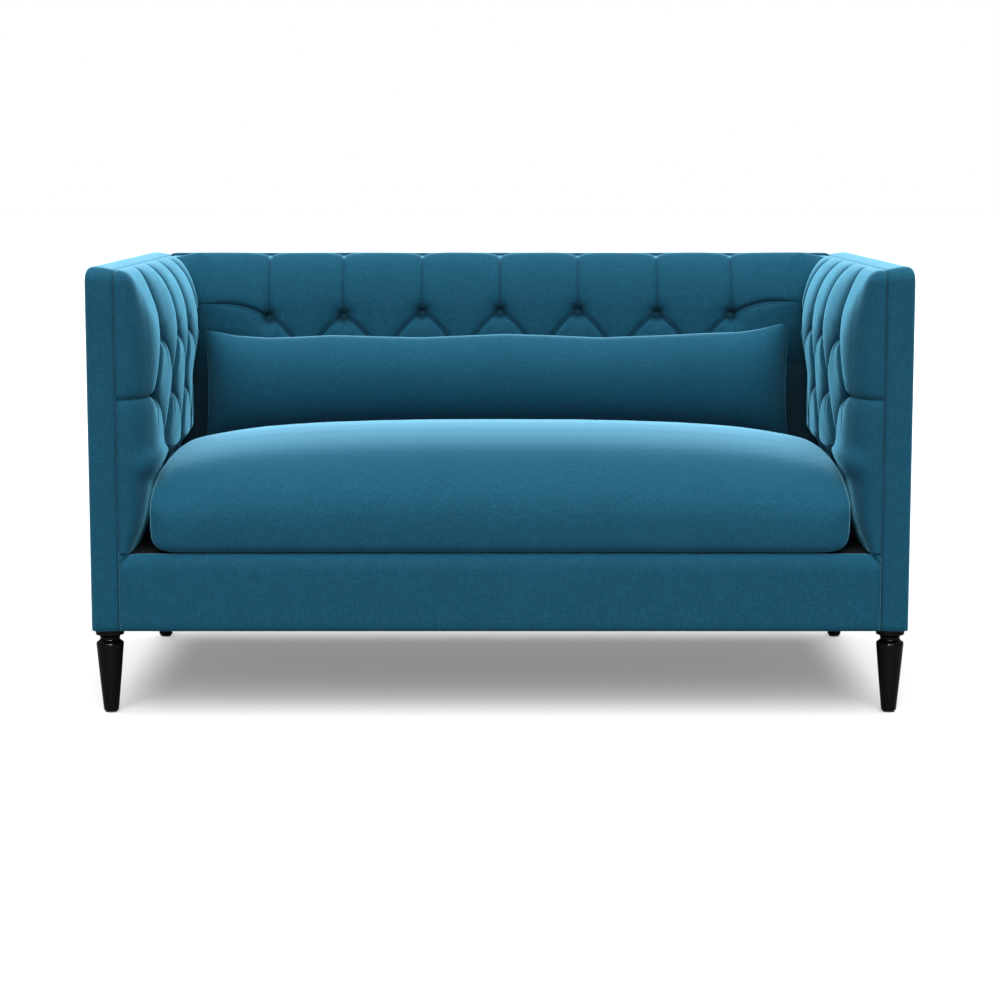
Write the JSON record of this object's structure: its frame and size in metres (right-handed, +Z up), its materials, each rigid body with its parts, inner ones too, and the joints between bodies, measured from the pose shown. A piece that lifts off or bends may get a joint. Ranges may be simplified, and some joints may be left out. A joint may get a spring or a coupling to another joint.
{
  "type": "sofa",
  "caption": "Two-seater sofa with deep-buttoned arms as high as its back, one bench seat cushion, a long lumbar bolster and turned black legs",
  "frame": {"origin": "on the floor, below the middle of the sofa", "axes": "+X to the right as seen from the front, +Y to the back, +Z up"},
  "size_m": [1.524, 0.87, 0.838],
  "materials": {
    "teal_velvet": "satin",
    "black_lacquer": "gloss",
    "frame_timber": "matte",
    "zinc_steel": "satin",
    "glide_plastic": "matte",
    "webbing_cloth": "matte",
    "dust_cloth": "matte",
    "liner_board": "matte",
    "filling": "matte"
  },
  "bodies": {
    "sofa_frame": {"back_liner": "liner_board", "back_tack_rail": "frame_timber", "back_top_band": "teal_velvet", "back_top_rail": "frame_timber", "back_tuft_buttons": "teal_velvet", "back_uprights": "frame_timber", "corner_braces": "frame_timber", "cross_webbing": "webbing_cloth", "deck_pad": "filling", "dust_cover": "dust_cloth", "front_left_leg": "black_lacquer", "front_rail_cover": "teal_velvet", "front_right_leg": "black_lacquer", "front_seat_rail": "frame_timber", "inside_back_pad": "teal_velvet", "left_arm_band": "teal_velvet", "left_arm_front_post": "frame_timber", "left_arm_liner": "liner_board", "left_arm_stud": "frame_timber", "left_arm_tack_rail": "frame_timber", "left_arm_top_rail": "frame_timber", "left_arm_tuft_buttons": "teal_velvet", "left_inside_arm_pad": "teal_velvet", "left_outside_arm_panel": "teal_velvet", "left_rear_post": "frame_timber", "left_seat_rail": "frame_timber", "leg_blocks": "frame_timber", "leg_glides": "glide_plastic", "leg_hanger_bolts": "zinc_steel", "leg_inserts": "zinc_steel", "long_webbing": "webbing_cloth", "outside_back_panel": "teal_velvet", "rear_left_leg": "black_lacquer", "rear_right_leg": "black_lacquer", "rear_seat_rail": "frame_timber", "right_arm_band": "teal_velvet", "right_arm_front_post": "frame_timber", "right_arm_liner": "liner_board", "right_arm_stud": "frame_timber", "right_arm_tack_rail": "frame_timber", "right_arm_top_rail": "frame_timber", "right_arm_tuft_buttons": "teal_velvet", "right_inside_arm_pad": "teal_velvet", "right_outside_arm_panel": "teal_velvet", "right_rear_post": "frame_timber", "right_seat_rail": "frame_timber", "seat_stretchers": "frame_timber"},
    "seat_cushion": {"seat_cushion_cover": "teal_velvet", "seat_cushion_core": "filling"},
    "lumbar_bolster": {"bolster_cover": "teal_velvet", "bolster_insert": "filling"}
  },
  "joints": [
    {"name": "seat_cushion_pull", "type": "slide", "parent": "sofa_frame", "child": "seat_cushion", "axis": [0, -1, 0], "range_m": [0, 0.74]},
    {"name": "bolster_lift", "type": "slide", "parent": "seat_cushion", "child": "lumbar_bolster", "axis": [0, 0, 1], "range_m": [0, 0.4]}
  ]
}
